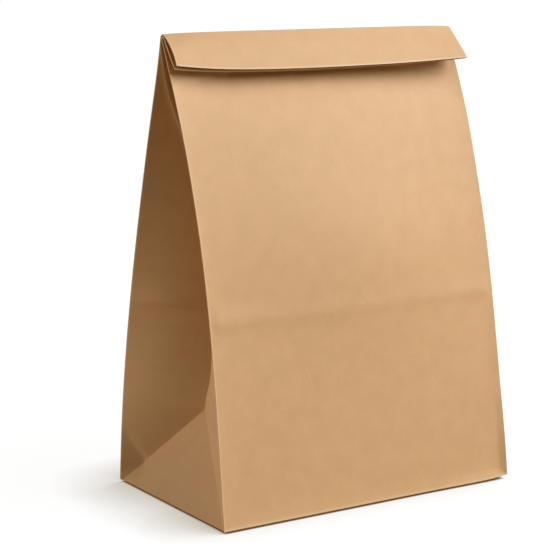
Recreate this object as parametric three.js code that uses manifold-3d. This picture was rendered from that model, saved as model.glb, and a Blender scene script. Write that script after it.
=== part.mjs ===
// Brown paper lunch bag: one sheet folded and glued into a block-bottom bag with two side gussets.
// It stands on its base, is pressed flat at the mouth, and the mouth is folded forward once.
// Millimetres, +Z up, origin at the middle of the base, the folded mouth to the front (-Y).
import * as THREE from "three";
import { mergeVertices } from "three/addons/utils/BufferGeometryUtils.js";
import Module from "manifold-3d";

const wasm = await Module();
wasm.setup();

// Driving dimensions of the bag
const bagWidth = 150;
const baseDepth = 92;
const creaseHeight = 203.4;
const creaseSetBack = 3;
const baseFoldRadius = 0.8;

// Outward bow of the panels at half height, and where up the panel each bow is fullest
const frontBowLeft = 9.6;
const frontBowRight = 6.9;
const frontRiseLeft = 1.25;
const frontRiseRight = 0.95;
const frontFallLeft = 1;
const frontFallRight = 0.75;
const backBow = 5.3;
const backBowRise = 1;
const backBowFall = 1.5;

// Soft crease across all four sides, left where the flat bag's bottom was folded over
const markHeight = 86.4;
const markSpread = 5;
const markRise = 0.5;

// Side gussets: the fold apex above the base, slack in the paper, the lean of the centre fold
// towards the front, and the swell of each half
const apexHeight = 40.9;
const gussetSlack = 1.9;
const gussetLean = 0.8;
const frontSwell = 2;
const backSwell = 5;
const swellStart = 30;

// Folded mouth: the stacked paper, thicker at the left end where its plies part, and the crease
const stackThickness = 1.6;
const mouthThickness = 2.1;
const mouthThicknessLeft = 2.4;
const puff = 0.6;
const puffReach = 26;
const creaseRadius = 0.5;
const creaseDroop = 0.5;
const droopReach = 40;

// Flap: its length, its angles from straight down in degrees at the crease and at the cut edge,
// and how far in from each end the end's own lie reaches
const flapLengths = { left: 15.9, middle: 17.5, right: 18.2 };
const creaseAngles = { left: 60, middle: 36, right: 56 };
const edgeAngles = { left: 22, middle: 20, right: 42 };
const leftReach = 22;
const rightReach = 40;

// Block bottom: two glued flaps, the front one outside, over the folded-in gusset ends
const plyStep = 0.3;
const bottomLap = 10;
const cutterOverhang = 5;

// Fineness of the surface: steps along each part of it
const gussetSteps = 4;
const middleSteps = 6;
const apexSteps = 4;
const lowerSteps = 4;
const markSteps = 8;
const upperSteps = 13;
const bendSteps = 7;
const flapSteps = 6;

// Sizes that follow from the driving dimensions
const halfWidth = bagWidth / 2;
const halfDepth = baseDepth / 2;
const foldHeight = creaseHeight - creaseRadius - stackThickness;
const markLow = markHeight - 2 * markSpread;
const markHigh = markHeight + 2 * markSpread;

const mix = THREE.MathUtils.lerp;
const across = (left, right, x) => mix(left, right, (x + halfWidth) / bagWidth);
const steps = (from, to, count) =>
  Array.from({ length: count }, (_, i) => mix(from, to, (i + 1) / count));

// Share of a bow reached at height share s, 1 at half height and 0 at both ends
const bowShape = (s, rise, fall) => (2 * s) ** rise * (2 - 2 * s) ** fall;

// Bell-shaped hump of height 1
const bump = (distance, spread) => Math.exp(-((distance / spread) ** 2));

// Rise of the soft crease off a panel: a rounded level ridge
const markOffset = (z) => markRise * bump(z - markHeight, markSpread);

// Front and back panels in side view: from the base edge up to the flattened mouth
function frontY(x, z) {
  const s = z / foldHeight;
  const bow = across(frontBowLeft, frontBowRight, x);
  const rise = across(frontRiseLeft, frontRiseRight, x);
  const fall = across(frontFallLeft, frontFallRight, x);
  const straight = mix(-halfDepth, creaseSetBack - stackThickness / 2, s);
  return straight - bow * bowShape(s, rise, fall) - markOffset(z);
}

function backY(x, z) {
  const s = z / foldHeight;
  const straight = mix(halfDepth, creaseSetBack + stackThickness / 2, s);
  return straight + backBow * bowShape(s, backBowRise, backBowFall) + markOffset(z);
}

// Depth of the gusset's centre fold: the paper from edge to fold keeps its length, less the slack
function gussetDepth(halfOpening) {
  return Math.sqrt(Math.max(halfDepth ** 2 - halfOpening ** 2, 0)) - gussetSlack;
}

// Left-to-right places along the panels, closer together above the gussets
const panelX = [
  -halfWidth,
  ...steps(-halfWidth, halfDepth - halfWidth, gussetSteps),
  ...steps(halfDepth - halfWidth, halfWidth - halfDepth, middleSteps),
  ...steps(halfWidth - halfDepth, halfWidth, gussetSteps),
];

// Front or back half of one gusset at height z, from the panel's edge inward to the fold
// Below the apex it ends on the diagonal fold that runs up from the base corner
function gussetHalf(side, panelY, fullSwell, z) {
  const edgeX = side * halfWidth;
  const edge = new THREE.Vector3(edgeX, panelY(edgeX, z), z);
  if (z <= baseFoldRadius) return Array.from({ length: gussetSteps + 1 }, () => edge);
  const at = (height) => {
    const front = frontY(edgeX, height);
    const back = backY(edgeX, height);
    const depth = gussetDepth((back - front) / 2);
    const lean = gussetLean * bowShape(height / foldHeight, 1, 1);
    return new THREE.Vector3(edgeX - side * depth, (front + back) / 2 - lean, height);
  };
  const corner = new THREE.Vector3(edgeX, panelY(edgeX, baseFoldRadius), baseFoldRadius);
  const climb = (z - baseFoldRadius) / (apexHeight - baseFoldRadius);
  const inner = climb < 1 ? corner.lerp(at(apexHeight), climb) : at(z);
  const opening = Math.abs(edge.y - inner.y) / halfDepth;
  const grown = THREE.MathUtils.smoothstep(z, apexHeight, apexHeight + swellStart);
  const swell = fullSwell * opening * grown;
  const outward = new THREE.Vector3(side * Math.abs(edge.y - inner.y), inner.x - edge.x, 0);
  outward.y *= -side * Math.sign(edge.y - inner.y);
  outward.normalize();
  return Array.from({ length: gussetSteps + 1 }, (_, i) => {
    const u = i / gussetSteps;
    return edge.clone().lerp(inner, u).addScaledVector(outward, swell * Math.sin(Math.PI * u));
  });
}

// One section of the bag: both panels and the four half gussets
function bodySection(z) {
  const row = (panelY) => panelX.map((x) => new THREE.Vector3(x, panelY(x, z), z));
  return {
    front: row(frontY),
    back: row(backY),
    leftFront: gussetHalf(-1, frontY, frontSwell, z),
    leftBack: gussetHalf(-1, backY, backSwell, z),
    rightFront: gussetHalf(1, frontY, frontSwell, z),
    rightBack: gussetHalf(1, backY, backSwell, z),
  };
}

const moved = (section, move) =>
  Object.fromEntries(Object.entries(section).map(([name, points]) => [name, points.map(move)]));

// Value along the mouth: the middle's, giving way to each end's own towards that end
function alongMouth({ left, middle, right }, x) {
  const nearLeft = Math.exp(-(halfWidth + x) / leftReach);
  const nearRight = Math.exp(-(halfWidth - x) / rightReach);
  return middle + (left - middle) * nearLeft + (right - middle) * nearRight;
}

// Angle of the flap from straight down, in radians
const lie = (angles, x) => THREE.MathUtils.degToRad(alongMouth(angles, x));

// Thickness of the stacked plies along the flap: lens-shaped at the left end, where they part
function stackAt(x, flapShare) {
  const nearLeft = bump(x + halfWidth, puffReach);
  const atMouth = mix(mouthThickness, mouthThicknessLeft, nearLeft);
  const parted = puff * nearLeft * Math.sin(Math.PI * flapShare);
  return mix(stackThickness, atMouth, flapShare) + parted;
}

// The flattened mouth carried round the crease by a share of the bend, then along the curling flap
function mouthSection(bendShare, flapShare) {
  const centreY = creaseSetBack - stackThickness / 2 - creaseRadius;
  const radius = creaseRadius + stackThickness / 2;
  return moved(bodySection(foldHeight), ({ x, y }) => {
    const angle = lie(creaseAngles, x);
    const turn = bendShare * (Math.PI - angle);
    const curl = flapShare * (lie(edgeAngles, x) - angle);
    const along = flapShare * alongMouth(flapLengths, x);
    const chord = curl === 0 ? along : (along * Math.sin(curl / 2)) / (curl / 2);
    const heading = angle + curl / 2;
    const under = (0.5 - (y - creaseSetBack) / stackThickness) * stackAt(x, flapShare);
    const offset = stackThickness / 2 - under;
    return new THREE.Vector3(
      x,
      centreY + radius * Math.cos(turn) - chord * Math.sin(heading) + offset * Math.cos(turn - curl),
      foldHeight + radius * Math.sin(turn) - chord * Math.cos(heading) + offset * Math.sin(turn - curl),
    );
  });
}

// Drop of the crease's rounded ends, carried a little way down the panels
function settled({ x, y, z }) {
  const near = THREE.MathUtils.smoothstep(z, foldHeight - droopReach, foldHeight);
  return new THREE.Vector3(x, y, z - creaseDroop * near * (x / halfWidth) ** 8);
}

// Bottom section, drawn in by the radius of the base fold
function baseSection() {
  const inset = (edge) => edge - Math.sign(edge) * baseFoldRadius;
  return moved(bodySection(0), (point) => {
    const share = point.x / halfWidth;
    return new THREE.Vector3(inset(halfWidth) * share, inset(point.y), 0);
  });
}

// Skin between two rows of points, left to right and bottom to top as seen from outside
function strip(triangles, lower, upper) {
  const add = (...corners) => {
    const [a, b, c] = corners;
    const folded = a.distanceTo(b) < 1e-6 || b.distanceTo(c) < 1e-6 || c.distanceTo(a) < 1e-6;
    if (!folded) triangles.push(...corners);
  };
  for (let i = 0; i + 1 < lower.length; i += 1) {
    add(lower[i], lower[i + 1], upper[i + 1]);
    add(lower[i], upper[i + 1], upper[i]);
  }
}

const reversed = (points) => [...points].reverse();

// Once round a section, anticlockwise from above, from the front left edge back to itself
const ring = (section) => [
  ...section.front,
  ...section.rightFront.slice(1),
  ...reversed(section.rightBack),
  ...reversed(section.back).slice(1),
  ...section.leftBack.slice(1),
  ...reversed(section.leftFront),
];

// Cut edge of the mouth: the panels' plies, open to the gussets at both ends
function mouthEdge(triangles, section) {
  const { front, back, leftFront, leftBack, rightFront, rightBack } = section;
  const inner = gussetSteps;
  const outer = gussetSteps + middleSteps;
  strip(triangles, front.slice(0, inner + 1), leftFront);
  strip(triangles, leftBack, back.slice(0, inner + 1));
  triangles.push(front[inner], back[inner], leftFront[gussetSteps]);
  strip(triangles, front.slice(inner, outer + 1), back.slice(inner, outer + 1));
  triangles.push(front[outer], rightFront[gussetSteps], back[outer]);
  strip(triangles, front.slice(outer), reversed(rightFront));
  strip(triangles, reversed(rightBack), back.slice(outer));
}

function solid(geometry) {
  const merged = mergeVertices(geometry, 1e-4);
  const vertProperties = new Float32Array(merged.attributes.position.array);
  const triVerts = new Uint32Array(merged.index.array);
  return new wasm.Manifold(new wasm.Mesh({ numProp: 3, vertProperties, triVerts }));
}

// Shallow recess in the base, from an outline seen from above
function recess(outline, depth) {
  const shape = new THREE.Shape(outline.map(([x, y]) => new THREE.Vector2(x, y)));
  const height = depth + cutterOverhang;
  const geometry = new THREE.ExtrudeGeometry(shape, { depth: height, bevelEnabled: false });
  geometry.translate(0, 0, -cutterOverhang);
  geometry.deleteAttribute("normal");
  geometry.deleteAttribute("uv");
  return solid(geometry);
}

// Base: past the outer flap's free edge lies the inner flap, and at both ends the gusset ends
function cutBase(body) {
  const endX = halfWidth + cutterOverhang;
  const edgeY = halfDepth + cutterOverhang;
  const foldX = halfWidth - halfDepth;
  const innerFlap = [[-endX, bottomLap], [endX, bottomLap], [endX, edgeY], [-endX, edgeY]];
  const gussetEnd = (side) => [[side * foldX, 0], [side * endX, edgeY], [side * endX, -edgeY]];
  return body
    .subtract(recess(innerFlap, plyStep))
    .subtract(recess(gussetEnd(-1), 2 * plyStep))
    .subtract(recess(gussetEnd(1), 2 * plyStep));
}

function paperBag() {
  const heights = [
    baseFoldRadius,
    ...steps(baseFoldRadius, apexHeight, apexSteps),
    ...steps(apexHeight, markLow, lowerSteps),
    ...steps(markLow, markHigh, markSteps),
    ...steps(markHigh, foldHeight, upperSteps),
  ];
  const sections = [
    baseSection(),
    ...heights.map(bodySection),
    ...steps(0, 1, bendSteps).map((share) => mouthSection(share, 0)),
    ...steps(0, 1, flapSteps).map((share) => mouthSection(1, share)),
  ].map((section) => moved(section, settled));
  const triangles = [];
  strip(triangles, sections[0].back, sections[0].front);
  for (let i = 0; i + 1 < sections.length; i += 1) {
    strip(triangles, ring(sections[i]), ring(sections[i + 1]));
  }
  mouthEdge(triangles, sections.at(-1));
  const skin = new THREE.BufferGeometry().setFromPoints(triangles);
  const mesh = cutBase(solid(skin)).getMesh();
  const geometry = new THREE.BufferGeometry();
  geometry.setAttribute("position", new THREE.BufferAttribute(mesh.vertProperties, mesh.numProp));
  geometry.setIndex(new THREE.BufferAttribute(mesh.triVerts, 1));
  geometry.computeVertexNormals();
  return geometry;
}

const kraftPaper = new THREE.MeshStandardMaterial({ color: "#c99c68", roughness: 0.85, metalness: 0 });

const bag = new THREE.Mesh(paperBag(), kraftPaper);
bag.name = "paper_bag";

const group = new THREE.Group();
group.add(bag);

export default group;
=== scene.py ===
"""Brown kraft paper lunch bag, standing on its block bottom with its mouth folded forward.

The bag is one folded sheet. It is drawn as a surface over two parameters: once round the bag's
section, and from the base up the panels, over the crease, down the flap and back inside the mouth.
"""

import bpy
import numpy as np
from bpy.props import FloatProperty, FloatVectorProperty, PointerProperty
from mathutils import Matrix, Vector


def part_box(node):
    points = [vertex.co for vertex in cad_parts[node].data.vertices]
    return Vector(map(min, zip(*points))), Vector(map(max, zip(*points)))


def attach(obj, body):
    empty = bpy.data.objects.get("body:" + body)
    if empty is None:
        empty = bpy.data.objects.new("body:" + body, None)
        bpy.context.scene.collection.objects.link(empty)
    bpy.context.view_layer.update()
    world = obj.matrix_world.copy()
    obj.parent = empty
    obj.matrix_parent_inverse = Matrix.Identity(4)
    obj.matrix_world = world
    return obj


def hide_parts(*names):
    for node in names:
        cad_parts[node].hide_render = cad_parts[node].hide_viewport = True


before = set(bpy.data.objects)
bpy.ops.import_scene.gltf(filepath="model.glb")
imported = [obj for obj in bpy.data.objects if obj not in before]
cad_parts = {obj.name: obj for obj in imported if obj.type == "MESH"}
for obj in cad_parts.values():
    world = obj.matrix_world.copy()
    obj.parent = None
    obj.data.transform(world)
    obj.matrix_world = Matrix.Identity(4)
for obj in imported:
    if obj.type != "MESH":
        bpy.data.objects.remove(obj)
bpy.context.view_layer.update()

bl_info = {
    "name": "Paper lunch bag",
    "version": (1, 0, 0),
    "blender": (4, 5, 0),
    "location": "View3D > Sidebar > Paper bag",
    "description": "Draws a folded kraft paper lunch bag and a plain studio around it",
    "category": "Add Mesh",
}

MM = 0.001
NODE = "paper_bag"
LOW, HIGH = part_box(NODE)

# Powers of the panels' bow below and above half height; the front's run from its left to its right
FRONT_RISE = (1.25, 0.95)
FRONT_FALL = (1, 0.75)
BACK_RISE = 1
BACK_FALL = 1.5

# Stiff folds at the panels' edges: shares of the height between which they die away, and the reach
# of the base's fold as a share of theirs
STIFF_FADE = (0.75, 0.95)
BASE_REACH = 0.8

# Soft crease: its reach above and below its line, and where it ends short of the panels' edges
MARK_ABOVE = 5 * MM
MARK_BELOW = 3.8 * MM
MARK_END = 5 * MM
GUSSET_MARK_ABOVE = 8 * MM
GUSSET_MARK_BELOW = 2 * MM

# Dent under the folded mouth: its middle below the fold, its half height, the power that ends it at
# the panel's edges, and the height over which it and the hollows end below the fold
DENT_DROP = 13 * MM
DENT_HALF_HEIGHT = 15 * MM
DENT_POWER = 6
HOLLOW_END = 10 * MM

# Swelling of the front panel, which has a negative depth, and the shallow hollows that handling left
# in it, in millimetres: x, z, half width, half height, depth
HOLLOWS = np.array([
    (5, 111.6, 54, 40, -4.5),
    (-7, 147, 4, 15, 0.14),
    (31, 154, 4, 20, 0.16),
    (-15, 111, 13, 9, 0.22),
    (-36, 68, 4, 11, 0.12),
    (-7, 57, 5, 14, 0.12),
    (40, 57, 6, 18, 0.12),
    (45, 120, 8, 16, 0.15),
    (-48, 142, 6, 22, 0.14),
]) * MM

# Strips bent forward at the front's lower right corner: their widths, how far each stays full, and
# how far both reach
SIDE_STRIP = 3.4 * MM
BASE_STRIP = 5.2 * MM
SIDE_STRIP_FULL = 12 * MM
BASE_STRIP_FULL = 5 * MM
STRIP_REACH = 50 * MM

# Glued seam: width of the step at its edge
SEAM_STEP = 0.15 * MM

# Gusset: half the gap at its centre fold, height over which that fold leaves the upright, and height
# in apex heights over which its swell grows
CENTRE_GAP = 0.15 * MM
UPRIGHT_REACH = 8 * MM
SWELL_START = 1.6

# Gusset's loose column: height above the apex over which it moves to its upper place, and its least
# share from either end; least share of the diagonal fold and least length of a level, for safe divisions
KNOT_REACH = 60 * MM
KNOT_LEAST = 0.03
DIAGONAL_LEAST = 1e-4
CHORD_LEAST = 1e-6

# Ridge below the crease's left end: its distance from the edge at a drop, the power it grows with,
# its height, the shares of the half gusset that it spans, its least share from the edge, and where it
# starts and fades
RIDGE_PLACE = 6.1 * MM
RIDGE_DROP = 24 * MM
RIDGE_POWER = 1.56
RIDGE_HEIGHT = 1 * MM
RIDGE_NEAR = 0.045
RIDGE_FAR = 0.06
RIDGE_CREVICE = 1.2
RIDGE_RETURN = 0.3
RIDGE_LEAST = 0.01
RIDGE_START = 8 * MM
RIDGE_FADE = (58 * MM, 40 * MM)

# Pinched facet by the lower back corner: its tip's distance from the edge, its depth, the width over
# which it rises past the tip, the line that ends it above, the slopes of that line and of the
# diagonal that ends it below, how fast it dies away there, and its fade at the base
FACET_TIP = 12.5 * MM
FACET_DEPTH = 2.4 * MM
FACET_PAST = 10 * MM
FACET_TOP = 26.6 * MM
FACET_TOP_SLOPE = 1.1
FACET_LOW_SLOPE = 0.9
FACET_LOW_SHARE = 0.2
FACET_BASE = (1 * MM, 8 * MM)

# Crease: reach of its droop and pull down the bag, and their powers across it; reach of the corner's
# lift
CREASE_REACH = 40 * MM
DROOP_POWER = 8
PULL_POWER = 4
LIFT_REACH = 4 * MM

# Mouth: thickness of a pressed fold at the cut edge as a share of that at the crease, share of a half
# gusset over which its plies become short, and place of the last row before the cut edge
CUT_FOLD = 0.75
SHORT_PLY_START = 0.1
LAST_ROW = 0.985

# Overlap of the base's rim and the glued bottom
RIM_LAP = 1 * MM

# Wear of the folds with painted highlights, from 0 to 1: paler broken fibres, and painted highlights
# where the edges face the light, strongest on the front base and the outer cut edge; and the half width
# that it shows on; at the crease that is a share of its turn, and at the cut edge the share of the flap
# where the paleness starts
EDGE_WEAR_AND_HIGHLIGHT = 0.4
FRONT_BASE_WEAR_AND_HIGHLIGHT = 0.8
OTHER_BASE_WEAR = 0.2
OUTER_CUT_WEAR_AND_HIGHLIGHT = 0.8
INNER_CUT_WEAR_AND_HIGHLIGHT = 0.4
CREASE_WEAR_AND_HIGHLIGHT = 0.55
LAYER_WEAR = 0.5
EDGE_WEAR_AND_HIGHLIGHT_WIDTH = 0.4 * MM
BASE_WEAR_AND_HIGHLIGHT_WIDTH = 0.5 * MM
RIDGE_WEAR_AND_HIGHLIGHT_WIDTH = 0.7 * MM
LAYER_WEAR_WIDTH = 0.6 * MM
CREASE_WEAR_AND_HIGHLIGHT_SPREAD = 0.35
CUT_WEAR_AND_HIGHLIGHT_START = 0.96

# Heights of the undersides of the glued bottom's layers
FRONT_LAYER = 0.03 * MM
BACK_LAYER = 0.26 * MM
GUSSET_LAYER = 0.49 * MM

# Steps of the sheet's grid: across a panel and half a gusset, round the base's fold, over the crease
# and down the flap, and along and across a bottom layer
PANEL_STEPS = 84
HALF_GUSSET_STEPS = 13
BASE_STEPS = 4
CREASE_STEPS = 10
FLAP_STEPS = 18
LAYER_STEPS = (30, 40)

# Bands with closer rows: above the base, either side of the soft crease, and below the top crease
FOOT_BAND = 10 * MM
MARK_BAND = 9 * MM
TOP_BAND = 14 * MM

# Angle between two faces, in degrees, past which their edge is drawn sharp
SHARP_ANGLE = 40

# Patterns of the paper, in millimetres: clouds of pulp, length and width of the fibres, and tooth
CLOUD_SIZE = 9
FIBRE_LENGTH = 3
FIBRE_WIDTH = 0.35
TOOTH_SIZE = 0.5

# Studio: places in metres, angles in degrees. The floor's painted soft shade lies away from the
# direction of its lean
FLOOR_HALF = 4.0
CARD_GREY = "#616161"
WHITE = (1, 1, 1, 1)
SHADE_LEAN = (0.55, -0.45, 0.7)
NEAR_PLACE = (0.3, -0.27, 0.41)
NEAR_AIM = (0.02, 0, 0.15)
NEAR_SIZE = 0.2
SIDE_TURN = -125
SIDE_RISE = 11
SIDE_SPREAD = 26
CAMERA_PLACE = (-0.4443, -0.65774, 0.23789)
CAMERA_AIM = (-0.018257, 0, 0.094149)
CAMERA_LENS = 116.31
CAMERA_SENSOR = 36.0


def length(name, description, default):
    """A length property; its default is given in metres."""
    return FloatProperty(name=name, description=description, default=default, unit="LENGTH", precision=5)


def angle(name, description, degrees):
    """An angle property; its default is given in degrees."""
    default = np.radians(degrees)
    return FloatProperty(name=name, description=description, default=default, subtype="ANGLE")


def number(name, description, default):
    """A plain number, such as a strength or a share."""
    return FloatProperty(name=name, description=description, default=default, precision=3)


def linear(code):
    """Linear red, green and blue of an sRGB hex colour."""
    value = np.array([int(code[i:i + 2], 16) for i in (1, 3, 5)]) / 255
    return tuple(np.where(value <= 0.04045, value / 12.92, ((value + 0.055) / 1.055) ** 2.4))


def colour(name, description, code):
    """A colour property; its default is an sRGB hex code."""
    return FloatVectorProperty(name=name, description=description, default=linear(code), subtype="COLOR")


class BagForm(bpy.types.PropertyGroup):
    """Sizes of the folded bag."""

    width: length("Width", "Width of the front panel", HIGH.x - LOW.x)
    depth: length("Depth", "Depth of the base, front to back", HIGH.y - LOW.y)
    height: length("Height", "Height of the top crease", HIGH.z)
    set_back: length("Set-back", "Crease behind the middle of the base", 3 * MM)
    base_lift: length("Base lift", "Height of the fold round the base above the ground", 0.75 * MM)
    base_radius: length("Base radius", "Radius of the fold round the base", 0.5 * MM)
    base_inset: length("Base inset", "Distance from the base's fold to its glued bottom", 3 * MM)
    corner_lift: length("Corner lift", "Extra lift of the front right corner", 1.5 * MM)
    front_bow_left: length("Front bow, left", "Outward bow of the front's left edge", 9.6 * MM)
    front_bow_right: length("Front bow, right", "Outward bow of the front's right edge", 6.9 * MM)
    back_bow: length("Back bow", "Outward bow of the back panel", 5.3 * MM)
    edge_flare: length("Edge flare", "How far the stiff folds stand proud of the panels", 0.7 * MM)
    edge_reach: length("Edge reach", "Width over which the flare dies away", 5 * MM)
    border_flare: length("Border flare", "Bend of the strips at the front's right corner", 0.75 * MM)
    flap_dent: length("Flap dent", "Depth of the dent in the front under the folded mouth", 5 * MM)
    mark_height: length("Crease mark", "Height of the soft crease across the panels", 86.4 * MM)
    mark_ends: length("Crease rise, ends", "Rise of the soft crease by the panel's edges", 0.58 * MM)
    mark_middle: length("Crease rise, middle", "Rise of the soft crease in the panel's middle", 0.25 * MM)
    apex_height: length("Apex height", "Height where the gusset's diagonal folds meet", 40.9 * MM)
    gusset_slack: length("Gusset slack", "Spare depth of the gusset's paper", 1.9 * MM)
    front_swell: length("Gusset swell, front", "Outward swell of the gusset's front half", 2 * MM)
    back_swell: length("Gusset swell, back", "Outward swell of the gusset's back half", 5 * MM)
    gusset_mark: length("Gusset crease", "Height of the soft crease off the gusset", 1.4 * MM)
    gusset_lean: length("Gusset lean", "Centre fold in front of the gusset's middle", 0.8 * MM)
    fold_gap: length("Fold gap", "Thickness of a pressed fold of two plies", 0.6 * MM)
    stack: length("Stack", "Thickness of the flattened mouth at the crease", 1.6 * MM)
    crease_radius: length("Crease radius", "Inner radius of the top crease", 0.5 * MM)
    crease_droop: length("Crease droop", "Drop of the crease's rounded ends", 0.5 * MM)
    crease_pull: length("Crease pull", "How far the crease's right end is drawn in", 0.8 * MM)
    ply: length("Ply", "Paper thickness, drawn thicker than it is so that cut edges show", 0.2 * MM)
    lap: length("Bottom lap", "Overlap of the glued bottom flaps past the middle", 10 * MM)
    seam_place: length("Seam place", "Glued seam's edge, from the middle of the back", 52 * MM)
    seam_width: length("Seam width", "Width of the glued seam", 12 * MM)


class FlapLie(bpy.types.PropertyGroup):
    """How the folded mouth lies: its length, its angles from straight down, how far its plies part."""

    length_left: length("Length, left", "Length of the flap at its left end", 15.9 * MM)
    length_middle: length("Length, middle", "Length of the flap away from its ends", 17.5 * MM)
    length_right: length("Length, right", "Length of the flap at its right end", 18.4 * MM)
    left_top: angle("Left, at the crease", "Flap angle at its left end, at the crease", 60)
    left_edge: angle("Left, at the edge", "Flap angle at its left end, at the cut edge", 22)
    middle_top: angle("Middle, at the crease", "Flap angle in the middle, at the crease", 36)
    middle_edge: angle("Middle, at the edge", "Flap angle in the middle, at the cut edge", 20)
    right_top: angle("Right, at the crease", "Flap angle at its right end, at the crease", 48)
    right_edge: angle("Right, at the edge", "Flap angle at its right end, at the cut edge", 42)
    left_reach: length("Left reach", "Distance from the left end over which the flap settles", 22 * MM)
    right_reach: length("Right reach", "Distance from the right end over which the flap settles", 40 * MM)
    mouth_left: length("Mouth, left", "Thickness of the plies at the mouth's left end", 3 * MM)
    mouth_rest: length("Mouth, rest", "Thickness of the plies along the rest of the mouth", 2.3 * MM)
    mouth_right: length("Mouth, right", "Thickness of the plies at the mouth's right end", 1.4 * MM)
    puff: length("Puff", "Extra spread of the plies halfway down the left end", 1.4 * MM)
    fold_puff: length("Fold puff", "Extra thickness of the left end's inner fold halfway down", 0.2 * MM)
    puff_reach: length("Puff reach", "Distance along the flap over which the plies close up", 26 * MM)
    short_plies: length("Short plies", "How far the gusset's plies end short of the cut edge", 1.4 * MM)
    long_left: length("Long ply, left", "Reach of the inner panel past the outer at the left end", 1 * MM)
    long_middle: length("Long ply, middle", "The same away from the ends", 0.35 * MM)
    long_right: length("Long ply, right", "The same at the right end, where it ends short", -0.5 * MM)


class PaperLook(bpy.types.PropertyGroup):
    """Colours of the kraft paper."""

    base: colour("Kraft", "Unbleached paper in plain light", "#D5AE81")
    cloud: colour("Cloud", "Denser patches in the sheet", "#C59E71")
    fibre_dark: colour("Dark fibre", "Bark specks and dark fibres", "#A67B4C")
    fibre_light: colour("Light fibre", "Pale fibres on the surface", "#DBBA92")
    # Pale colour of broken fibres along folds, also used for painted highlights on the edges
    worn_and_highlight: colour("Worn fold", "Paper whose fibres are broken along a fold", "#EDDABC")


class StudioLook(bpy.types.PropertyGroup):
    """Strengths, colours and directions of the studio's light, and the painted shades of its floor."""

    key: number("Key", "Strength of the broad lamp at the upper right", 2.71)
    key_tint: colour("Key tint", "Colour of the key lamp", "#FFF9F1")
    key_turn: angle("Key turn", "Direction of the key lamp, from the front towards the right", 42)
    key_rise: angle("Key rise", "Height of the key lamp above the floor", 37)
    key_spread: angle("Key spread", "Apparent size of the key lamp, which softens its shadows", 55)
    near: FloatProperty(name="Near lamp", description="Power of the softbox close to the bag's right",
                        default=0.69, unit="POWER")
    side: number("Side", "Strength of the low lamp behind the left side", 1.19)
    side_tint: colour("Side tint", "Colour of the lamp at the left", "#FFE4C2")
    fill: number("Fill", "Strength of the light from all round", 0.032)
    fill_tint: colour("Fill tint", "Colour of the light from all round", "#E2EED0")
    bounce: colour("Floor bounce", "Colour of the light that the floor sends back to the bag", "#A58A5A")
    lift: number("Floor lift", "Light added where the floor is seen, so that it reads as white", 0.96)
    # Painted shade on the floor: the soft shade by the bag, the dark line under its edge, and their
    # reaches
    shade: colour("Floor shade", "Colour of the floor by the bag, away from the key lamp", "#978660")
    shade_reach: length("Shade reach", "Distance over which the floor's shade fades", 38 * MM)
    gap: colour("Floor gap", "Colour of the floor in the gap under the bag's edge", "#5A320D")
    gap_shade_reach: length("Gap reach", "Distance over which the gap's dark line fades", 2.5 * MM)


def lerp(a, b, share):
    """Value that runs straight from a to b as share runs from 0 to 1."""
    return a + (b - a) * share


def smooth(low, high, value):
    """0 below low, 1 above high, and an S-shaped rise between them."""
    t = np.clip((value - low) / (high - low), 0, 1)
    return t * t * (3 - 2 * t)


def bump(value, middle, spread):
    """Bell-shaped hump of height 1."""
    return np.exp(-(((value - middle) / spread) ** 2))


def eased(count):
    """count + 1 shares from 0 to 1, closest together at both ends."""
    return (1 - np.cos(np.linspace(0, np.pi, count + 1))) / 2


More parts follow.
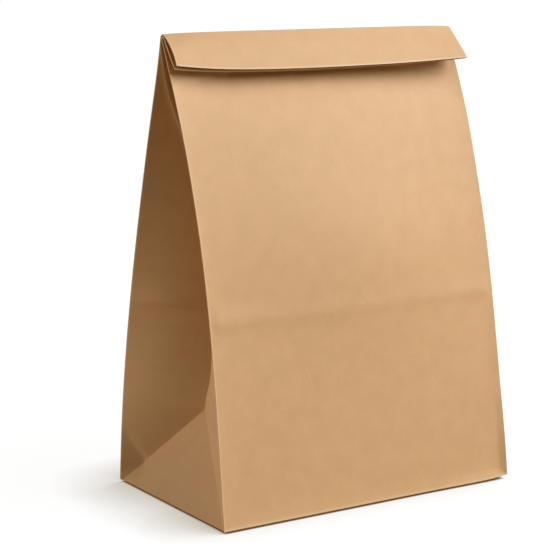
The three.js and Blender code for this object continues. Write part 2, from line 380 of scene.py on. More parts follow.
class Folds:
    """The bag's surface as formulas over arrays: heights down the rows, places across the columns."""

    def __init__(self, form, lie):
        self.form, self.lie = form, lie
        self.half_width = form.width / 2
        self.half_depth = form.depth / 2
        self.fold_height = form.height - form.crease_radius - form.stack

    def across(self, left, right, x):
        """Value that runs straight from the bag's left to its right."""
        return lerp(left, right, (x + self.half_width) / self.form.width)

    def bow(self, z, rise, fall):
        """Share of a panel's bow at height z: a product of powers, 1 at half height, 0 at the ends."""
        s = np.clip(z / self.fold_height, 0, 1)
        return (2 * s) ** rise * (2 - 2 * s) ** fall

    def mark(self, rise, z, above, below):
        """Soft crease: a bell-shaped ridge with its own reach above and below."""
        dz = z - self.form.mark_height
        return rise * np.exp(-(dz / np.where(dz > 0, above, below)) ** 2)

    def relief(self, x, z):
        """How far a panel stands proud: stiff folds at its edges and base, and the soft crease, which
        is strongest near the edges and ends just short of them."""
        form = self.form
        edge = self.half_width - np.abs(x)
        low, high = STIFF_FADE
        fade = 1 - smooth(low * self.fold_height, high * self.fold_height, z)
        sides = np.exp(-edge / form.edge_reach) * fade
        base = np.exp(-z / (BASE_REACH * form.edge_reach))
        rise = lerp(form.mark_middle, form.mark_ends, (x / self.half_width) ** 2)
        rise = rise * smooth(0, MARK_END, edge)
        return form.edge_flare * np.maximum(sides, base) + self.mark(rise, z, MARK_ABOVE, MARK_BELOW)

    def hollows(self, x, z):
        """Depth of the hollows: bell-shaped dips from handling, less a broad swelling, and the long
        dent that the folded mouth presses in. They end below the crease."""
        dips = sum(d * bump(x, x0, w) * bump(z, z0, h) for x0, z0, w, h, d in HOLLOWS)
        dent = self.form.flap_dent * bump(z, self.fold_height - DENT_DROP, DENT_HALF_HEIGHT)
        dent = dent * (1 - (x / self.half_width) ** DENT_POWER)
        return (dips + dent) * smooth(self.fold_height, self.fold_height - HOLLOW_END, z)

    def front_y(self, x, z):
        """Front panel: straight from base to crease, bowed out, with the relief and the hollows."""
        form = self.form
        foot, top = -self.half_depth + form.edge_flare, form.set_back - form.stack / 2
        straight = lerp(foot, top, z / self.fold_height)
        bow = self.bow(z, self.across(*FRONT_RISE, x), self.across(*FRONT_FALL, x))
        bow = bow * self.across(form.front_bow_left, form.front_bow_right, x)
        return straight - bow - self.relief(x, z) - self.border(x, z) + self.hollows(x, z)

    def border(self, x, z):
        """Strips bent forward along the front's right edge and base where they meet: straight slopes
        that rise to the edge and fade away from the corner."""
        edge = self.half_width - x
        side = np.clip(1 - edge / SIDE_STRIP, 0, 1) * smooth(STRIP_REACH, SIDE_STRIP_FULL, z)
        base = np.clip(1 - z / BASE_STRIP, 0, 1) * smooth(STRIP_REACH, BASE_STRIP_FULL, edge)
        return self.form.border_flare * np.maximum(side, base)

    def back_y(self, x, z):
        """Back panel: straight from base to crease, bowed out, with the relief and the glued seam."""
        form = self.form
        foot, top = self.half_depth - form.edge_flare, form.set_back + form.stack / 2
        straight = lerp(foot, top, z / self.fold_height)
        bow = form.back_bow * self.bow(z, BACK_RISE, BACK_FALL)
        return straight + bow + self.relief(x, z) + self.seam(x)

    def seam(self, x):
        """Glued seam down the back: a step of one ply at its edge that dies away over its width."""
        form = self.form
        past = x - form.seam_place
        return form.ply * smooth(-SEAM_STEP, 0, past) * (1 - smooth(0, form.seam_width, past))

    def gusset_depth(self, opening):
        """Depth of the centre fold: the paper from edge to fold keeps its length, less the slack."""
        return np.sqrt(np.maximum(self.half_depth ** 2 - opening ** 2, 0)) - self.form.gusset_slack

    def half_gusset(self, side, is_front, z, f):
        """Half a gusset from the panel's edge (f 0) to the centre fold (f 1): x, y, share of the paper
        and the paleness of its folds: wear, with a painted highlight along the edge and the ridge.

        Below the apex each level runs straight from the edge to the diagonal fold, then along the
        flat bottom triangle. Above it, it runs to the centre fold, which leaves the apex upright and
        then leans in. Up to its fold each level swells out like half a sine wave.
        One column, f 0.5, follows the diagonal, so that the fold stays sharp.
        """
        form = self.form
        edge_x = side * self.half_width
        inward = 1 if is_front else -1
        own = self.front_y if is_front else self.back_y

        def middle_at(height):
            lean = form.gusset_lean * self.bow(height, 1, 1)
            return (self.front_y(edge_x, height) + self.back_y(edge_x, height)) / 2 - lean

        def depth_at(height):
            return self.gusset_depth((self.back_y(edge_x, height) - self.front_y(edge_x, height)) / 2)

        apex = form.apex_height
        climb = np.clip(z / apex, 0, 1)
        below = z < apex
        above = np.maximum(z - apex, 0)
        slope = (depth_at(apex + MM) - depth_at(apex)) / MM
        leaning = depth_at(z) - slope * above * np.exp(-above / UPRIGHT_REACH)
        depth = np.where(below, depth_at(apex) * climb, leaning)
        edge_y = own(edge_x, z) + inward * form.fold_gap
        corner_y = own(edge_x, 0) + inward * form.fold_gap
        fold_y = np.where(below, lerp(corner_y, middle_at(apex), climb), middle_at(z))
        middle_y = np.where(below, lerp(middle_at(0), middle_at(apex), climb), middle_at(z))
        middle_y = middle_y - inward * CENTRE_GAP

        facet = np.hypot(depth, fold_y - edge_y)
        triangle = np.abs(middle_y - fold_y)
        diagonal = np.clip(facet / (facet + triangle), DIAGONAL_LEAST, 1 - DIAGONAL_LEAST)
        low_knot = np.clip(diagonal, KNOT_LEAST, 1 - KNOT_LEAST)
        knot = lerp(low_knot, self.top_knot(side, is_front, z), smooth(apex, apex + KNOT_REACH, z))
        share = np.where(f < 0.5, 2 * f * knot, knot + (2 * f - 1) * (1 - knot))

        on_facet = np.minimum(share / diagonal, 1)
        on_triangle = np.maximum((share - diagonal) / (1 - diagonal), 0)
        x = self.half_width - depth * on_facet
        y = edge_y + (fold_y - edge_y) * on_facet + (middle_y - fold_y) * on_triangle
        opened = np.abs(fold_y - edge_y)
        swell = form.front_swell if is_front else form.back_swell
        swell = swell * opened / self.half_depth * smooth(0, SWELL_START * apex, z)
        crease = self.mark(form.gusset_mark, z, GUSSET_MARK_ABOVE, GUSSET_MARK_BELOW)
        out = (swell + crease) * np.sin(np.pi * on_facet)
        paleness = EDGE_WEAR_AND_HIGHLIGHT * np.exp(-(share * self.half_depth / EDGE_WEAR_AND_HIGHLIGHT_WIDTH) ** 2)
        if side < 0 and not is_front:
            ridge, ridge_wear_and_highlight = self.corner_ridge(z, share)
            out = out + ridge - self.corner_facet(z, share * (facet + triangle))
            paleness = np.maximum(paleness, ridge_wear_and_highlight)
        chord = np.maximum(facet, CHORD_LEAST)
        x = x + out * opened / chord
        y = y + out * inward * depth / chord
        return side * x, y, share, paleness

    def top_knot(self, side, is_front, z):
        """Share of the half gusset where its loose column runs near the top."""
        if side < 0 and not is_front:
            return np.clip(self.ridge_share(z), KNOT_LEAST, 0.5)
        return 0.5

    def ridge_share(self, z):
        """Place of the ridge that curves down from the crease's left end into the gusset: its distance
        from the panel's edge grows with a power of the drop."""
        drop = np.maximum(self.fold_height - z, 0)
        valley_depth = self.half_depth - self.form.gusset_slack
        return RIDGE_PLACE * (drop / RIDGE_DROP) ** RIDGE_POWER / valley_depth

    def corner_ridge(self, z, share):
        """Ridge below the crease's left end: a narrow tent across that falls into a crevice on its far
        side. It fades out downwards. Its crest is drawn paler, wear with a painted highlight."""
        place = np.clip(self.ridge_share(z), RIDGE_LEAST, 1)
        past = share - place
        near_side = np.clip(1 + past / np.minimum(place, RIDGE_NEAR), 0, 1)
        fall = np.clip(past / RIDGE_FAR, 0, 1)
        back_up = np.clip((past - RIDGE_FAR) / RIDGE_RETURN, 0, 1)
        far_side = 1 - (1 + RIDGE_CREVICE) * fall + RIDGE_CREVICE * back_up
        top = self.fold_height
        end, full = RIDGE_FADE
        fade = smooth(top, top - RIDGE_START, z) * smooth(top - end, top - full, z)
        height = RIDGE_HEIGHT * fade * np.where(past < 0, near_side, far_side)
        # Paler crest: wear and a painted highlight
        paleness = fade * np.exp(-(past * self.half_depth / RIDGE_WEAR_AND_HIGHLIGHT_WIDTH) ** 2)
        return height, paleness

    def corner_facet(self, z, w):
        """Pinched facet by the lower back corner: it slopes in from the edge to its tip on the diagonal
        fold. It ends sharply at a line above, and dies away below the diagonal and at the base."""
        level = FACET_DEPTH * np.minimum(w / FACET_TIP, 1 + (FACET_TIP - w) / FACET_PAST)
        over = z - (FACET_TOP - FACET_TOP_SLOPE * w)
        outside = np.maximum(over, FACET_LOW_SHARE * (FACET_LOW_SLOPE * w - z))
        return np.maximum(level - np.maximum(outside, 0), 0) * smooth(*FACET_BASE, z)

    def along_mouth(self, left, middle, right, x):
        """Value along the mouth: it goes over from each end's value to the middle's exponentially."""
        near_left = np.exp(-(self.half_width + x) / self.lie.left_reach)
        near_right = np.exp(-(self.half_width - x) / self.lie.right_reach)
        return middle + (left - middle) * near_left + (right - middle) * near_right

    def mouth(self, x, ply, share, bend, along, inner):
        """Point of the flattened mouth carried round the crease and along the curling flap.

        ply counts the sheet's plies from the flap's outside: 0 back panel, 1 and 2 half gussets,
        3 front panel. share is the place on a half gusset, bend the share of the crease, along the
        share of the flap, and inner moves the point through the paper to its inside.
        """
        form, lie = self.form, self.lie
        top = self.along_mouth(lie.left_top, lie.middle_top, lie.right_top, x)
        edge = self.along_mouth(lie.left_edge, lie.middle_edge, lie.right_edge, x)
        reach = self.along_mouth(lie.length_left, lie.length_middle, lie.length_right, x)
        gusset = np.isin(ply, (1, 2)) * smooth(0, SHORT_PLY_START, share)
        longer = self.along_mouth(lie.long_left, lie.long_middle, lie.long_right, x) * (ply >= 2)
        reach = reach + lerp(longer, -lie.short_plies, gusset)

        near_left = bump(x, -self.half_width, lie.puff_reach)
        halfway = near_left * np.sin(np.pi * along)
        whole = self.along_mouth(lie.mouth_left, lie.mouth_rest, lie.mouth_right, x)
        whole = lerp(form.stack, whole, along) + lie.puff * halfway
        outer = form.fold_gap * lerp(1, CUT_FOLD, along)
        inside = whole - outer - lie.fold_puff * halfway
        middle = (outer + inside) / 2
        under = np.choose(ply, [0 * whole, lerp(outer, middle - CENTRE_GAP, share),
                                lerp(inside, middle + CENTRE_GAP, share), whole])
        under = under + np.where(ply % 2 == 0, form.ply, -form.ply) * inner
        offset = form.stack / 2 - under

        radius = form.crease_radius + form.stack / 2
        centre_y = form.set_back - form.stack / 2 - form.crease_radius
        turn = bend * (np.pi - top)
        curl = (edge - top) * along
        chord = along * reach * np.sinc(curl / 2 / np.pi)
        heading = top + curl / 2
        facing = np.where(along > 0, np.pi - top - curl, turn)
        y = centre_y + radius * np.cos(turn) - chord * np.sin(heading) + offset * np.cos(facing)
        z = self.fold_height + radius * np.sin(turn) - chord * np.cos(heading) + offset * np.sin(facing)
        return y, z


def node(tree, kind, settings=None, **links):
    """Adds a node, sets its own settings and socket values, and links sockets to other outputs."""
    made = tree.nodes.new(kind)
    for name, value in (settings or {}).items():
        if name in made.inputs:
            made.inputs[name].default_value = value
        else:
            setattr(made, name, value)
    for name, source in links.items():
        tree.links.new(source, made.inputs[int(name[1:]) if name[0] == "_" else name.replace("__", " ")])
    return made


def rgba(value):
    """Linear colour with full opacity."""
    return (*value, 1.0)


def kraft_paper(look):
    """Unbleached kraft paper, machine-made and calendered on one side: a matt brown sheet with soft
    clouds of denser pulp, short fibres along the machine direction, and pale folds: broken fibres with
    painted highlights."""
    name = "Unbleached kraft paper, machine-made"
    if name in bpy.data.materials:
        return bpy.data.materials[name]
    material = bpy.data.materials.new(name)
    material.use_nodes = True
    tree = material.node_tree
    tree.nodes.clear()
    sheet = node(tree, "ShaderNodeUVMap", {"uv_map": "sheet"})
    in_mm = node(tree, "ShaderNodeVectorMath", {"operation": "SCALE", "Scale": 1000.0},
                 _0=sheet.outputs["UV"])
    place = in_mm.outputs["Vector"]

    # Clouds of denser pulp
    clouds = {"Scale": 1 / CLOUD_SIZE, "Detail": 3.0, "Roughness": 0.55}
    cloud = node(tree, "ShaderNodeTexNoise", clouds, Vector=place)
    cloud_share = node(tree, "ShaderNodeMapRange", {"From Min": 0.35, "From Max": 0.7, "To Max": 0.35},
                       Value=cloud.outputs["Fac"])
    body = node(tree, "ShaderNodeMix", {"data_type": "RGBA"}, _0=cloud_share.outputs["Result"])
    body.inputs[6].default_value = rgba(look.base)
    body.inputs[7].default_value = rgba(look.cloud)

    # Fibres along the machine direction, drawn coarser than they are so that they show
    fibre_scale = (1 / FIBRE_WIDTH, 1 / FIBRE_LENGTH, 1)
    along = node(tree, "ShaderNodeMapping", {"Scale": fibre_scale}, Vector=place)
    fibre = node(tree, "ShaderNodeTexNoise", {"Scale": 1.0, "Detail": 2.0, "Distortion": 0.6},
                 Vector=along.outputs["Vector"])
    dark_share = node(tree, "ShaderNodeMapRange", {"From Min": 0.62, "From Max": 0.78, "To Max": 0.28},
                      Value=fibre.outputs["Fac"])
    light_share = node(tree, "ShaderNodeMapRange", {"From Min": 0.4, "From Max": 0.25, "To Max": 0.3},
                       Value=fibre.outputs["Fac"])
    darker = node(tree, "ShaderNodeMix", {"data_type": "RGBA"}, _0=dark_share.outputs["Result"],
                  _6=body.outputs[2])
    darker.inputs[7].default_value = rgba(look.fibre_dark)
    lighter = node(tree, "ShaderNodeMix", {"data_type": "RGBA"}, _0=light_share.outputs["Result"],
                   _6=darker.outputs[2])
    lighter.inputs[7].default_value = rgba(look.fibre_light)

    # Broken, paler fibres along the folds and cut edges, with painted highlights in the same paler colour
    paleness = node(tree, "ShaderNodeAttribute", {"attribute_name": "fold_wear_and_highlight"})
    worn_and_highlight = node(tree, "ShaderNodeMix", {"data_type": "RGBA"}, _0=paleness.outputs["Fac"],
                _6=lighter.outputs[2])
    worn_and_highlight.inputs[7].default_value = rgba(look.worn_and_highlight)

    # Tooth of the paper, as a slight bump and in its roughness, drawn coarser than it is
    tooth = node(tree, "ShaderNodeTexNoise", {"Scale": 1 / TOOTH_SIZE, "Detail": 3.0}, Vector=place)
    rough = node(tree, "ShaderNodeMapRange", {"To Min": 0.5, "To Max": 0.7}, Value=tooth.outputs["Fac"])
    raised = node(tree, "ShaderNodeBump", {"Strength": 0.25, "Distance": 0.05 * MM},
                  Height=tooth.outputs["Fac"])
    paper = node(tree, "ShaderNodeBsdfPrincipled", {"IOR": 1.5, "Specular IOR Level": 0.5},
                 Base__Color=worn_and_highlight.outputs[2], Roughness=rough.outputs["Result"],
                 Normal=raised.outputs["Normal"])
    node(tree, "ShaderNodeOutputMaterial", None, Surface=paper.outputs["BSDF"])
    return material


def sheet_object(name, points, places, paleness, closed, material):
    """Object of a grid of points (rows, columns, 3) with its sheet UV map and its fold paleness:
    wear with painted highlights.

    places holds the distance round the section and along the paper, in metres; closed joins the
    last column to the first."""
    rows, columns = points.shape[:2]
    index = np.arange(rows * columns).reshape(rows, columns)
    last = columns if closed else columns - 1
    left = np.arange(last)
    right = (left + 1) % columns
    corners = index[:-1, left], index[:-1, right], index[1:, right], index[1:, left]
    quads = np.stack(corners, -1).reshape(-1, 4)
    mesh = bpy.data.meshes.new(name)
    mesh.vertices.add(rows * columns)
    mesh.vertices.foreach_set("co", points.reshape(-1).astype(np.float32))
    mesh.loops.add(quads.size)
    mesh.loops.foreach_set("vertex_index", quads.reshape(-1).astype(np.int32))
    mesh.polygons.add(len(quads))
    mesh.polygons.foreach_set("loop_start", np.arange(0, quads.size, 4, dtype=np.int32))
    mesh.update(calc_edges=True)
    mesh.validate()
    u, v = places
    corners_u = np.stack([u[:-1, left], u[:-1, left + 1], u[1:, left + 1], u[1:, left]], -1)
    corners_v = np.stack([v[:-1, left], v[:-1, right], v[1:, right], v[1:, left]], -1)
    layer = mesh.uv_layers.new(name="sheet")
    layer.data.foreach_set("uv", np.stack([corners_u, corners_v], -1).reshape(-1).astype(np.float32))
    attribute = mesh.attributes.new("fold_wear_and_highlight", "FLOAT", "POINT")
    attribute.data.foreach_set("value", paleness.reshape(-1).astype(np.float32))
    mesh.shade_smooth()
    mesh.set_sharp_from_angle(angle=np.radians(SHARP_ANGLE))
    mesh.materials.append(material)
    piece = bpy.data.objects.new(name, mesh)
    bpy.context.scene.collection.objects.link(piece)
    return piece


class Sheet:
    """Rows and columns of the folded sheet, and the arrays that they give."""

    def __init__(self, folds):
        self.folds = folds
        form = folds.form
        apex, top, mark = form.apex_height, folds.fold_height, form.mark_height
        foot = form.base_lift + form.base_radius
        # Each stretch from one height to the next, with the number of its rows
        stretches = [
            (foot, FOOT_BAND, 14),
            (FOOT_BAND, apex, 24),
            (apex, mark - MARK_BAND, 24),
            (mark - MARK_BAND, mark + MARK_BAND, 26),
            (mark + MARK_BAND, top - TOP_BAND, 56),
            (top - TOP_BAND, top, 18),
        ]
        heights = [np.linspace(low, high, rows + 1)[1:] for low, high, rows in stretches]
        self.z = np.concatenate([[foot]] + heights)[:, None]
        across = folds.half_width * np.sin(np.linspace(-np.pi / 2, np.pi / 2, PANEL_STEPS + 1))
        step = [form.seam_place - SEAM_STEP, form.seam_place]
        self.panel_x = np.sort(np.append(across, step))[None, :]
        halves = eased(HALF_GUSSET_STEPS)
        self.f = np.concatenate([halves / 2, 0.5 + halves[1:] / 2])[None, :]

    def body(self):
        """Arrays once round the body: front, right gusset, back, left gusset. They hold x, y, the
        paleness of wear and painted edge highlights, and for each column its ply in the folded mouth and
        its share of a half gusset."""
        folds, z = self.folds, self.z
        spans = []
        for ply, side in ((3, 0), (2, 1), (1, 1), (0, 0), (1, -1), (2, -1)):
            if side:
                x, y, share, paleness = folds.half_gusset(side, ply == 2, z, self.f)
                share = share[-1]
            else:
                x = np.broadcast_to(self.panel_x, (len(z), self.panel_x.size))
                y = (folds.front_y if ply else folds.back_y)(x, z)
                share = np.zeros(self.panel_x.size)
                paleness = EDGE_WEAR_AND_HIGHLIGHT * bump(x, -folds.half_width, EDGE_WEAR_AND_HIGHLIGHT_WIDTH)
            # Paler base fold: wear, and on the lit front a stronger painted highlight
            base_wear_and_highlight = FRONT_BASE_WEAR_AND_HIGHLIGHT if ply == 3 else OTHER_BASE_WEAR
            paleness = np.maximum(paleness, base_wear_and_highlight * bump(z, z[0], BASE_WEAR_AND_HIGHLIGHT_WIDTH))
            turned = -1 if (ply, side) in ((1, 1), (0, 0), (2, -1)) else 1
            spans.append([a[..., ::turned] for a in (x, y, paleness, np.full(share.shape, ply), share)])
        return [np.concatenate(parts, -1) for parts in zip(*spans)]

    def base(self, foot):
        """Rounded fold under the body: quarter circles drawn in towards the middle, then a level rim
        that runs on to the glued bottom."""
        folds = self.folds
        form, radius = folds.form, folds.form.base_radius
        turn = np.linspace(np.pi / 2, 0, BASE_STEPS + 1)[:-1]
        inset = np.concatenate([[form.base_inset + RIM_LAP], radius * (1 - np.cos(turn))])[:, None]
        height = np.concatenate([[0], radius * (1 - np.sin(turn))])[:, None] + form.base_lift
        x = foot[:, 0] * (1 - inset / folds.half_width)
        y = foot[:, 1] * (1 - inset / folds.half_depth)
        return np.stack([x, y, np.broadcast_to(height, x.shape)], -1)

    def mouth(self, x, ply, share):
        """Rows over the crease, down the flap to the cut edge, and back up the inside."""
        folds = self.folds
        bends = np.linspace(0, 1, CREASE_STEPS + 1)[1:, None]
        runs = np.concatenate([np.linspace(0, 1, FLAP_STEPS + 1)[1:-1], [LAST_ROW, 1]])[:, None]
        # Paler cut edges: wear and a painted highlight. On the inner plies it fades out towards the right
        # end, as painted shade where they lie in the outer ply's shadow
        inner_cut_paleness_with_painted_shade = INNER_CUT_WEAR_AND_HIGHLIGHT * smooth(folds.half_width, 0, x)
        cut_wear_and_highlight = np.where(ply == 0, OUTER_CUT_WEAR_AND_HIGHLIGHT, inner_cut_paleness_with_painted_shade)
        rows = []
        for bend, along, inner in ((bends, 0 * bends, 0), (1 + 0 * runs, runs, 0),
                                   (1 + 0 * runs, runs[::-1], 1), (bends[::-1], 0 * bends, 1)):
            y, z = folds.mouth(x, ply, share, bend, along, inner)
            narrow = 1 - inner * folds.form.ply / folds.half_width
            # Paler top crease: wear and a painted highlight
            crease = CREASE_WEAR_AND_HIGHLIGHT * bump(bend, 0.5, CREASE_WEAR_AND_HIGHLIGHT_SPREAD) * (along == 0)
            paleness = np.maximum(crease, cut_wear_and_highlight * smooth(CUT_WEAR_AND_HIGHLIGHT_START, 1, along))
            rows.append(np.stack(np.broadcast_arrays(x * narrow, y, z, paleness), -1))
        return np.concatenate(rows)

    def settle(self, points):
        """Drop of the crease's rounded ends and pull of its right end, carried a little way down, and
        the lift of the front right corner, which dies away exponentially."""
        folds = self.folds
        x, y, z = np.moveaxis(points, -1, 0)
        place = x / folds.half_width
        near = smooth(folds.fold_height - CREASE_REACH, folds.fold_height, z)
        corner = np.hypot(x - folds.half_width, y + folds.half_depth) + z
        lift = folds.form.corner_lift * np.exp(-corner / LIFT_REACH)
        drop = folds.form.crease_droop * place ** DROOP_POWER * near
        pull = folds.form.crease_pull * np.maximum(place, 0) ** PULL_POWER * near
        return np.stack([x - pull, y, z + lift - drop], -1)

    def arrays(self):
        """Points of all rows, and their paleness: wear with painted highlights."""
        x, y, paleness, ply, share = self.body()
        body = np.stack([x, y, np.broadcast_to(self.z, x.shape)], -1)
        base = self.base(body[0])
        mouth = self.mouth(x[-1], ply, share)
        points = self.settle(np.concatenate([base, body, mouth[..., :3]]))
        edges = np.broadcast_to(paleness[-1], mouth.shape[:2])
        under = np.full(base.shape[:2], EDGE_WEAR_AND_HIGHLIGHT)
        return points, np.concatenate([under, paleness, np.maximum(mouth[..., 3], edges)])


def fold_sheet(context):
    """Makes the folded sheet and returns its object."""
    scene = context.scene
    points, paleness = Sheet(Folds(scene.bag_form, scene.bag_lie)).arrays()
    rows, columns = paleness.shape
    step_u = np.linalg.norm(np.diff(points, axis=1, append=points[:, :1]), axis=-1)
    step_v = np.linalg.norm(np.diff(points, axis=0), axis=-1)
    u = np.concatenate([[0], np.cumsum(np.median(step_u, 0))])
    v = np.concatenate([[0], np.cumsum(np.median(step_v, 1))])
    places = np.broadcast_to(u, (rows, columns + 1)), np.broadcast_to(v[:, None], (rows, columns))
    return sheet_object("folded_sheet", points, places, paleness, True, kraft_paper(scene.bag_paper))


def bottom_layer(context, name, front, reach, taper, height):
    """One layer of the glued bottom, a trapezoid that starts at the front or back fold.

    Across it runs from end to end, and along it from the fold to its free edge, with each end drawn
    in by taper times the distance from the fold. Its underside lies at the given height, and its
    thickness goes up from there.
    """
    form = context.scene.bag_form
    side = 1 if front else -1
    steps_along, steps_across = LAYER_STEPS
    s = np.linspace(side, -side, steps_across + 1)[None, :]
    t = np.linspace(0, reach, steps_along + 1)[:, None]
    half = form.width / 2 - form.base_inset - taper * t
    x = s * half
    y = side * (t - form.depth / 2 + form.base_inset) + 0 * x
    rim = np.minimum(half - np.abs(x), reach - t + 0 * x)
    paleness = LAYER_WEAR * np.exp(-rim / LAYER_WEAR_WIDTH)
    points = np.stack([x, y, np.full(x.shape, height)], -1)
    piece = sheet_object(name, points, (x, y), paleness, False, kraft_paper(context.scene.bag_paper))
    solid = piece.modifiers.new("Paper thickness", "SOLIDIFY")
    solid.thickness = form.ply
    solid.offset = -1
    return piece


class BAG_OT_fold_sheet(bpy.types.Operator):
    """Draw the bag's folded sheet: panels, gussets, crease and flap"""

    bl_idname = "paper_bag.fold_sheet"
    bl_label = "Fold the sheet"

    def execute(self, context):
        piece = fold_sheet(context)
        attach(piece, "root")
        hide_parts(NODE)
        return {"FINISHED"}


class BAG_OT_block_bottom(bpy.types.Operator):
    """Draw the glued block bottom: tucked gusset ends, back flap and front flap"""

    bl_idname = "paper_bag.block_bottom"
    bl_label = "Glue the bottom"

    def execute(self, context):
        form = context.scene.bag_form
        whole = form.depth - 2 * form.base_inset
        flap = form.depth / 2 + form.lap - form.base_inset
        layers = (
            ("bottom_front_flap", True, flap, 1, FRONT_LAYER),
            ("bottom_back_flap", False, flap, 1, BACK_LAYER),
            ("bottom_gusset_ends", True, whole, 0, GUSSET_LAYER),
        )
        for layer in layers:
            piece = bottom_layer(context, *layer)
            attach(piece, "root")
            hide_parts(NODE)
        return {"FINISHED"}


def sun(scene, name, strength, tint, turn, rise, spread):
    """Adds a distant lamp that shines from the given direction."""
    lamp = bpy.data.lights.new(name, "SUN")
    lamp.energy = strength
    lamp.color = tint
    lamp.angle = spread
    holder = bpy.data.objects.new(name, lamp)
    towards = Vector((np.sin(turn) * np.cos(rise), -np.cos(turn) * np.cos(rise), np.sin(rise)))
    holder.rotation_euler = towards.to_track_quat("Z", "Y").to_euler()
    scene.collection.objects.link(holder)


def softbox(scene, name, power, place, aim, size):
    """Adds a square lamp at a place, turned to its aim."""
    lamp = bpy.data.lights.new(name, "AREA")
    lamp.energy = power
    lamp.size = size
    holder = bpy.data.objects.new(name, lamp)
    holder.location = place
    holder.rotation_euler = (Vector(aim) - Vector(place)).to_track_quat("-Z", "Y").to_euler()
    scene.collection.objects.link(holder)


def seen_rays(tree):
    """Socket that is 1 for rays that show the background: straight to the camera, mirrored or through
    something clear."""
    path = node(tree, "ShaderNodeLightPath")
    shown = path.outputs["Is Camera Ray"]
    for ray in ("Is Glossy Ray", "Is Transmission Ray"):
        either = node(tree, "ShaderNodeMath", {"operation": "MAXIMUM"}, _0=shown, _1=path.outputs[ray])
        shown = either.outputs["Value"]
    return shown


def white_card(look):
    """White matt card, lifted to white where it is seen. There it keeps a trace of the lamps' shadows,
    and painted shade in its glow: a soft shade close to the bag on the side that the bag hides from the
    key lamp, and a dark painted shadow line in the gap under the bag's edge."""
    material = bpy.data.materials.new("White matt card")
    material.use_nodes = True
    tree = material.node_tree
    tree.nodes.clear()
    back = node(tree, "ShaderNodeBsdfDiffuse", {"Color": rgba(look.bounce)})
    card = node(tree, "ShaderNodeBsdfDiffuse", {"Color": rgba(linear(CARD_GREY))})
    # Painted shade: the glow runs to the shade colour where the bag closes off the side towards the key
    # lamp
    lean = node(tree, "ShaderNodeCombineXYZ", dict(zip("XYZ", SHADE_LEAN)))
    open_share = node(tree, "ShaderNodeAmbientOcclusion", {"Distance": look.shade_reach},
                      Normal=lean.outputs["Vector"])
    painted_shade = node(tree, "ShaderNodeMix", {"data_type": "RGBA"}, _0=open_share.outputs["AO"])
    painted_shade.inputs[6].default_value = rgba(look.shade)
    painted_shade.inputs[7].default_value = WHITE
    # Painted shadow line: the glow darkens to the gap colour right under the bag's edge
    close_share = node(tree, "ShaderNodeAmbientOcclusion", {"Distance": look.gap_shade_reach})
    lit_share = node(tree, "ShaderNodeMapRange", {"From Min": 0.2, "From Max": 0.7},
                     Value=close_share.outputs["AO"])
    painted_gap_line = node(tree, "ShaderNodeMix", {"data_type": "RGBA"}, _0=lit_share.outputs["Result"],
                 _7=painted_shade.outputs[2])
    painted_gap_line.inputs[6].default_value = rgba(look.gap)
    glow = node(tree, "ShaderNodeEmission", {"Strength": look.lift}, Color=painted_gap_line.outputs[2])
    seen = node(tree, "ShaderNodeAddShader", None, _0=card.outputs["BSDF"], _1=glow.outputs["Emission"])
    either = node(tree, "ShaderNodeMixShader", None, Fac=seen_rays(tree),
                  _1=back.outputs["BSDF"], _2=seen.outputs["Shader"])
    node(tree, "ShaderNodeOutputMaterial", None, Surface=either.outputs["Shader"])
    return material


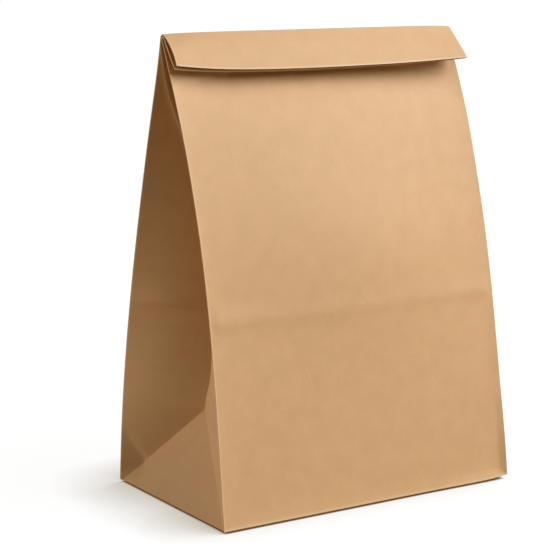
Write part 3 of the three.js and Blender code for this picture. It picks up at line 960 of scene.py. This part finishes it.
class BAG_OT_studio(bpy.types.Operator):
    """Set up the plain white floor, the soft light and the camera"""

    bl_idname = "paper_bag.studio"
    bl_label = "Set up the studio"

    def execute(self, context):
        scene = context.scene
        look = scene.bag_studio
        scene.view_settings.view_transform = "Standard"

        half = FLOOR_HALF
        corners = [(-half, -half, 0), (half, -half, 0), (half, half, 0), (-half, half, 0)]
        mesh = bpy.data.meshes.new("floor")
        mesh.from_pydata(corners, [], [(0, 1, 2, 3)])
        mesh.materials.append(white_card(look))
        floor = bpy.data.objects.new("floor", mesh)
        scene.collection.objects.link(floor)

        world = bpy.data.worlds.new("Studio")
        scene.world = world
        world.use_nodes = True
        tree = world.node_tree
        tree.nodes.clear()
        room = node(tree, "ShaderNodeBackground", {"Color": rgba(look.fill_tint), "Strength": look.fill})
        seen = node(tree, "ShaderNodeBackground", {"Color": WHITE, "Strength": 1.0})
        sky = node(tree, "ShaderNodeMixShader", None, Fac=seen_rays(tree),
                   _1=room.outputs["Background"], _2=seen.outputs["Background"])
        node(tree, "ShaderNodeOutputWorld", None, Surface=sky.outputs["Shader"])

        sun(scene, "Key", look.key, look.key_tint, look.key_turn, look.key_rise, look.key_spread)
        softbox(scene, "Near", look.near, NEAR_PLACE, NEAR_AIM, NEAR_SIZE)
        sun(scene, "Side", look.side, look.side_tint, *np.radians([SIDE_TURN, SIDE_RISE, SIDE_SPREAD]))

        data = bpy.data.cameras.new("Camera")
        data.sensor_width = CAMERA_SENSOR
        data.lens = CAMERA_LENS
        camera = bpy.data.objects.new("Camera", data)
        camera.location = CAMERA_PLACE
        line_of_sight = Vector(CAMERA_AIM) - camera.location
        camera.rotation_euler = line_of_sight.to_track_quat("-Z", "Y").to_euler()
        scene.collection.objects.link(camera)
        scene.camera = camera
        return {"FINISHED"}


class BAG_PT_panel(bpy.types.Panel):
    """Sidebar panel with the bag's operators and settings"""

    bl_label = "Paper bag"
    bl_idname = "BAG_PT_panel"
    bl_space_type = "VIEW_3D"
    bl_region_type = "UI"
    bl_category = "Paper bag"

    def draw(self, context):
        for operator in OPERATORS:
            self.layout.operator(operator.bl_idname)
        for name, group in GROUPS.items():
            box = self.layout.box()
            for field in group.__annotations__:
                box.prop(getattr(context.scene, name), field)


GROUPS = {"bag_form": BagForm, "bag_lie": FlapLie, "bag_paper": PaperLook, "bag_studio": StudioLook}
OPERATORS = (BAG_OT_fold_sheet, BAG_OT_block_bottom, BAG_OT_studio)


def register():
    """Adds the add-on's classes, and its settings to the scene."""
    for cls in (*GROUPS.values(), *OPERATORS, BAG_PT_panel):
        bpy.utils.register_class(cls)
    for name, group in GROUPS.items():
        setattr(bpy.types.Scene, name, PointerProperty(type=group))


def unregister():
    """Takes the settings and classes away again."""
    for name in GROUPS:
        delattr(bpy.types.Scene, name)
    for cls in (BAG_PT_panel, *reversed(OPERATORS), *GROUPS.values()):
        bpy.utils.unregister_class(cls)


def main():
    """Draws the bag and its studio."""
    register()
    bpy.ops.paper_bag.fold_sheet()
    bpy.ops.paper_bag.block_bottom()
    bpy.ops.paper_bag.studio()


if __name__ == "__main__":
    main()
